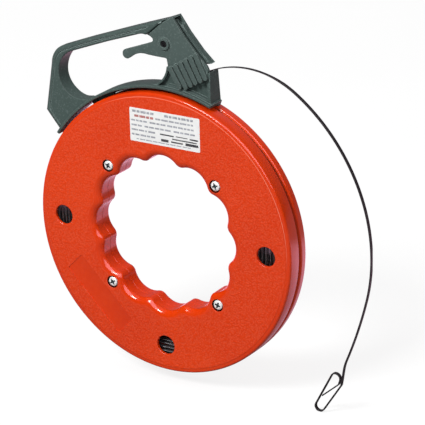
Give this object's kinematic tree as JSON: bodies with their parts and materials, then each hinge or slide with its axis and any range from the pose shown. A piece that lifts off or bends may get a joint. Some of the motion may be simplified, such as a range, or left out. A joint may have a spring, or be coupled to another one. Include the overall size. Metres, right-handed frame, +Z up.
{
  "type": "fish tape reel",
  "caption": "Round hand-wound fish tape reel: a scalloped-hub case turns in a guide handle with a tape-brake trigger, and a hooked flat tape leads out of the handle.",
  "frame": {"origin": "centre of the case on its turning axis, in the middle plane between the two shells", "axes": "+Y along the turning axis from the front face into the case, +Z up with the handle leaning towards -X, +X to the side the tape leaves on"},
  "size_m": [0.3037, 0.0257, 0.3137],
  "materials": {
    "case_plastic": "pebbled moulding with polished edges",
    "handle_plastic": "fine-grained moulding",
    "lever_plastic": "fine-grained moulding",
    "tape_steel": "blued spring steel",
    "clip_steel": "plain",
    "screw_zinc": "bright zinc",
    "screw_black": "black oxide",
    "label_vinyl": "satin sticker",
    "pad_rubber": "matte",
    "washer_nylon": "natural nylon"
  },
  "bodies": {
    "handle": {"handle_body": "handle_plastic", "pivot_screw": "screw_black", "pivot_washer": "washer_nylon", "lever_spring": "clip_steel", "tape_lead": "tape_steel"},
    "case": {"front_shell": "case_plastic", "rear_shell": "case_plastic", "case_screws": "screw_zinc", "front_label": "label_vinyl", "tape_coil": "tape_steel", "tape_anchor": "clip_steel", "anchor_screw": "screw_zinc"},
    "lever": {"brake_lever": "lever_plastic", "brake_pad": "pad_rubber"}
  },
  "joints": [
    {"name": "case_spin", "type": "hinge", "parent": "handle", "child": "case", "pos_m": [0, 0, 0], "axis": [0, 1, 0], "continuous": true},
    {"name": "brake_squeeze", "type": "hinge", "parent": "handle", "child": "lever", "pos_m": [0.0037, 0, 0.16029], "axis": [0, 1, 0], "range_deg": [0, 6], "stiffness_Nm_per_rad": 0.2, "springref_deg": -8.59, "deforming": ["lever_spring"]}
  ]
}
